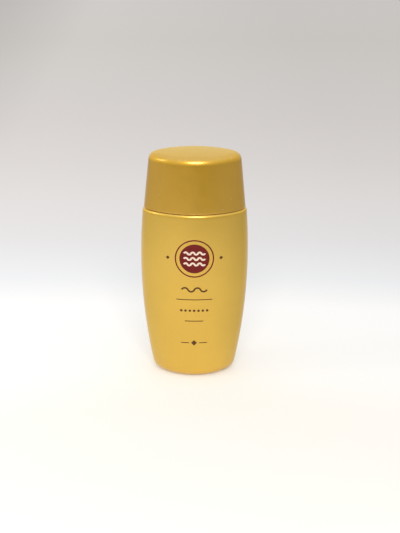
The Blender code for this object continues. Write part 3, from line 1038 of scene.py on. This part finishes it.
badge_disc = draw_round("badge_disc", BADGE_RADIUS, BADGE_HEIGHT, steps=10)
print_piece(badge_disc, maroon_ink)
badge_rim = draw_round("badge_rim", RIM_RADIUS, BADGE_HEIGHT, inner_radius=RIM_RADIUS - RIM_WIDTH, steps=2)
print_piece(badge_rim, maroon_ink)

top_wave_height = BADGE_HEIGHT + BADGE_WAVE_SPACING
top_wave = draw_wave("badge_wave_1", BADGE_WAVE_ARCS, BADGE_WAVE_RADIUS, BADGE_WAVE_WIDTH, top_wave_height)
for wave in repeat(top_wave, BADGE_WAVE_COUNT, up=-BADGE_WAVE_SPACING):
    print_piece(wave, cream_ink, SECOND_LAYER)

left_diamond = draw_round(
    "badge_diamond_1", BADGE_DIAMOND_RADIUS, BADGE_HEIGHT, x=-BADGE_DIAMOND_PLACE, points=4
)
for diamond in repeat(left_diamond, 2, right=2 * BADGE_DIAMOND_PLACE):
    print_piece(diamond, brown_ink)

low_wave = draw_wave("low_wave", LOW_WAVE_ARCS, LOW_WAVE_RADIUS, LOW_WAVE_WIDTH, LOW_WAVE_HEIGHT)
print_piece(low_wave, brown_ink)
print_piece(draw_rule("rule_long", LONG_RULE_LENGTH, LONG_RULE_HEIGHT), brown_ink)

first_dot_x = -DOT_SPACING * (DOT_COUNT - 1) / 2
first_dot = draw_round("dot_1", DOT_RADIUS, DOT_ROW_HEIGHT, x=first_dot_x, points=20)
for dot in repeat(first_dot, DOT_COUNT, right=DOT_SPACING):
    print_piece(dot, brown_ink)

print_piece(draw_rule("rule_middle", MIDDLE_RULE_LENGTH, MIDDLE_RULE_HEIGHT), brown_ink)
print_piece(draw_round("foot_diamond", FOOT_DIAMOND_RADIUS, FOOT_ROW_HEIGHT, points=4), brown_ink)
left_rule = draw_rule("foot_rule_1", FOOT_RULE_LENGTH, FOOT_ROW_HEIGHT, x=-FOOT_RULE_PLACE)
for rule in repeat(left_rule, 2, right=2 * FOOT_RULE_PLACE):
    print_piece(rule, brown_ink)


# Stage: floor, light and camera

FLOOR_SIZE = 12

# Painted light on the floor, at shares of its reach from a place before the bottle. Across, it is twice as
# long.
FLOOR_LIGHT_CENTRE = (0, -0.10, 0)
FLOOR_LIGHT_SCALE = (0.5, 1, 1)
FLOOR_LIGHT_REACH = 1.6
PAINTED_FLOOR_LIGHT = (
    (0.0, (0.845, 0.815, 0.785)),
    (0.035, (0.855, 0.83, 0.80)),
    (0.06, (0.875, 0.875, 0.87)),
    (0.115, (0.885, 0.89, 0.90)),
    (0.145, (0.775, 0.79, 0.82)),
    (0.19, (0.72, 0.715, 0.73)),
    (0.32, (0.67, 0.645, 0.64)),
    (0.42, (0.64, 0.615, 0.61)),
    (0.70, (0.61, 0.59, 0.58)),
    (0.90, (0.625, 0.60, 0.595)),
)
FLOOR_GLOW = 0.25

# Shades on the floor: a range of places in metres, or of bearings in radians, and the shade at its two ends
RIGHT_SHADE = ((-0.12, 0.12), (0.0, 0.075))
FAR_RIGHT_SHADE = ((0.12, 0.30), (0.0, 0.2))
FAR_RIGHT_SLANT = 0.2
FAR_LEFT_SHADE = ((-0.32, -0.15), (0.22, 0.0))
FAR_FADING = ((1.6, 3.0), (1.0, 0.0))

# Shades that only mirrored rays see, and the shares of them that are left elsewhere
BESIDE_SHADE = ((0.5, 1.55), (0.0, 0.17))
BESIDE_FADING = ((0.17, 0.28), (1.0, 0.0))
BESIDE_MIDDLE_SHARE = ((0.01, 0.07), (0.3, 1.0))
RIGHT_HAND_SHADE = ((0.9, 1.6), (0.0, 0.08))
BEFORE_SHADE = ((-0.45, -0.17), (0.66, 0.0))
BEFORE_SIDE_SHARE = ((0.15, 0.50), (1.0, 0.4))

# How pale the floor is to rays that it scatters, by distance: darker further off, a painted falloff of
# light
PAPER_ALBEDO = ((0.10, 0.70), (0.88, 0.22))

# The room's colours, and the ranges of direction over which one turns into the next
ROOM_BEHIND = (1.05, 0.98, 0.52, 1)
ROOM_BEFORE = (0.80, 0.75, 0.48, 1)
ROOM_RIGHT = (0.42, 0.40, 0.34, 1)
ROOM_CEILING = (1.0, 0.97, 0.66, 1)
ROOM_OVERHEAD = (1.0, 1.08, 1.4, 1)
EVEN_LIGHT = (0.72, 0.71, 0.70, 1)
BACKDROP = (0.62, 0.59, 0.56, 1)
BEHIND_TO_BEFORE = (-0.6, 0.95)
MIDDLE_TO_RIGHT = (-0.2, 0.9)
RIGHT_SHARES = (0.0, 0.6)
WALL_TO_CEILING = (0.1, 0.65)
CEILING_TO_OVERHEAD = (0.5, 0.9)

# What the lamps point at
LAMP_AIM = (0, 0, 0.06)


def painted_floor_light(tree, distance):
    """Painted light on the paper: warm white round the bottle, falling off to pale grey further off."""
    ramp = add(tree, "ShaderNodeValToRGB", {"Fac": spread(tree, distance, (0.0, FLOOR_LIGHT_REACH))})
    stops = ramp.color_ramp.elements
    while len(stops) < len(PAINTED_FLOOR_LIGHT):
        stops.new(0.5)
    for stop, (share, colour) in zip(stops, PAINTED_FLOOR_LIGHT):
        stop.position = share
        stop.color = (*colour, 1)
    return ramp.outputs["Color"]


def side_shades(tree, across, along, distance):
    """Painted shade on the paper, to the right and far to the left. It fades out in the distance."""
    slanted = calculate(tree, "SUBTRACT", across, product(tree, along, FAR_RIGHT_SLANT))
    shades = total(
        tree,
        spread(tree, across, *RIGHT_SHADE),
        spread(tree, slanted, *FAR_RIGHT_SHADE),
        spread(tree, across, *FAR_LEFT_SHADE),
    )
    return product(tree, shades, spread(tree, distance, *FAR_FADING))


def mirrored_shades(tree, across, along, distance):
    """How much darker mirrored rays see the paper beside the bottle and towards the viewer."""
    bearing = calculate(tree, "ARCTAN2", across, product(tree, along, -1.0))
    off_middle = calculate(tree, "ABSOLUTE", across)
    beside = product(
        tree,
        spread(tree, calculate(tree, "ABSOLUTE", bearing), *BESIDE_SHADE),
        spread(tree, distance, *BESIDE_FADING),
        spread(tree, off_middle, *BESIDE_MIDDLE_SHARE),
    )
    before = product(
        tree,
        spread(tree, along, *BEFORE_SHADE),
        spread(tree, off_middle, *BEFORE_SIDE_SHARE),
    )
    return total(tree, beside, spread(tree, bearing, *RIGHT_HAND_SHADE), before)


def floor_paper():
    """White paper with painted light and shade: greyer further off and to both sides.

    It glows a little for the camera and for the bottle's mirrored rays, and is plain paper for all others.
    """
    material, tree, shader = make_material("floor_paper")
    tree.nodes.remove(shader)
    place = object_place(tree)
    across, along = part_of(tree, place, "X"), part_of(tree, place, "Y")
    from_centre = [-value for value in FLOOR_LIGHT_CENTRE]
    mapping = {"Vector": place, "Location": from_centre, "Scale": FLOOR_LIGHT_SCALE}
    centred = add(tree, "ShaderNodeMapping", mapping).outputs[0]
    distance = add(tree, "ShaderNodeVectorMath", {0: centred}, operation="LENGTH").outputs["Value"]
    ray = add(tree, "ShaderNodeLightPath").outputs
    mirrored = product(tree, mirrored_shades(tree, across, along, distance), ray["Is Glossy Ray"])
    shades = calculate(tree, "ADD", side_shades(tree, across, along, distance), mirrored, clamp=True)
    # Painted light on the paper, darkened by the painted shades
    seen = mix_colour(tree, shades, painted_floor_light(tree, distance), BLACK)
    paper = add(tree, "ShaderNodeBsdfDiffuse", {"Color": seen})
    glow = add(tree, "ShaderNodeEmission", {"Color": seen, "Strength": FLOOR_GLOW})
    shown = add(tree, "ShaderNodeAddShader", {0: paper.outputs[0], 1: glow.outputs[0]})
    albedo = spread(tree, distance, *PAPER_ALBEDO)
    grey = add(tree, "ShaderNodeCombineColor", {0: albedo, 1: albedo, 2: albedo}).outputs[0]
    plain = add(tree, "ShaderNodeBsdfDiffuse", {"Color": grey})
    direct = calculate(tree, "MAXIMUM", ray["Is Camera Ray"], ray["Is Glossy Ray"])
    surface = add(tree, "ShaderNodeMixShader", {0: direct, 1: plain.outputs[0], 2: shown.outputs[0]})
    feed(tree, tree.nodes["Material Output"].inputs["Surface"], surface.outputs[0])
    return material


def make_floor():
    deselect_all()
    bpy.ops.mesh.primitive_plane_add(size=FLOOR_SIZE, location=(0, 0, 0))
    floor = bpy.context.active_object
    floor.name = "floor"
    floor.data.materials.append(floor_paper())


def make_world():
    """A plain room, as mirrored rays see it: pale and warm, darker towards the viewer and on the right.

    Diffuse rays get an even grey light from it, and the camera sees a plain pale backdrop.
    """
    world = bpy.data.worlds.new("studio")
    bpy.context.scene.world = world
    world.use_nodes = True
    tree = world.node_tree
    direction = add(tree, "ShaderNodeTexCoord").outputs["Generated"]
    rightwards, upwards = part_of(tree, direction, "X"), part_of(tree, direction, "Z")
    forwards = product(tree, part_of(tree, direction, "Y"), -1.0)
    room = mix_colour(tree, spread(tree, forwards, BEHIND_TO_BEFORE), ROOM_BEHIND, ROOM_BEFORE)
    room = mix_colour(tree, spread(tree, rightwards, MIDDLE_TO_RIGHT, RIGHT_SHARES), room, ROOM_RIGHT)
    room = mix_colour(tree, spread(tree, upwards, WALL_TO_CEILING), room, ROOM_CEILING)
    room = mix_colour(tree, spread(tree, upwards, CEILING_TO_OVERHEAD), room, ROOM_OVERHEAD)
    ray = add(tree, "ShaderNodeLightPath").outputs
    room = mix_colour(tree, ray["Is Diffuse Ray"], room, EVEN_LIGHT)
    room = mix_colour(tree, ray["Is Camera Ray"], room, BACKDROP)
    feed(tree, tree.nodes["Background"].inputs["Color"], room)


def make_lamp(name, place, size, watts, colour):
    """A soft lamp that points at the bottle."""
    deselect_all()
    bpy.ops.object.light_add(type="AREA", location=place)
    lamp = bpy.context.active_object
    lamp.name = name
    lamp.data.shape = "RECTANGLE"
    lamp.data.size, lamp.data.size_y = size
    lamp.data.energy = watts
    lamp.data.color = colour
    lamp.rotation_euler = (Vector(LAMP_AIM) - Vector(place)).to_track_quat("-Z", "Y").to_euler()


def make_camera():
    deselect_all()
    away = Vector((0, -math.cos(CAMERA_PITCH), math.sin(CAMERA_PITCH))) * CAMERA_DISTANCE
    tilt = (math.pi / 2 - CAMERA_PITCH, 0, 0)
    bpy.ops.object.camera_add(location=Vector((0, 0, AIM_HEIGHT)) + away, rotation=tilt)
    camera = bpy.context.active_object
    camera.rotation_euler.rotate_axis("Z", CAMERA_ROLL)
    camera.data.sensor_width = SENSOR
    camera.data.lens = SENSOR * FOCAL_PIXELS / IMAGE_HEIGHT
    camera.data.shift_x = (IMAGE_WIDTH / 2 - AIM_PIXEL_X) / IMAGE_HEIGHT
    camera.data.shift_y = (AIM_PIXEL_Y - IMAGE_HEIGHT / 2) / IMAGE_HEIGHT
    camera.data.clip_start = CAMERA_CLIP
    bpy.context.scene.camera = camera


make_floor()
make_world()
make_lamp("ceiling_lamp", place=(0.02, -0.73, 0.58), size=(0.34, 0.22), watts=3.1, colour=(1.0, 0.98, 0.95))
make_lamp("left_window", place=(-0.73, -0.15, 0.46), size=(0.14, 0.14), watts=0.4, colour=(1.0, 0.98, 0.96))
make_camera()

bpy.context.scene.view_settings.view_transform = "Standard"
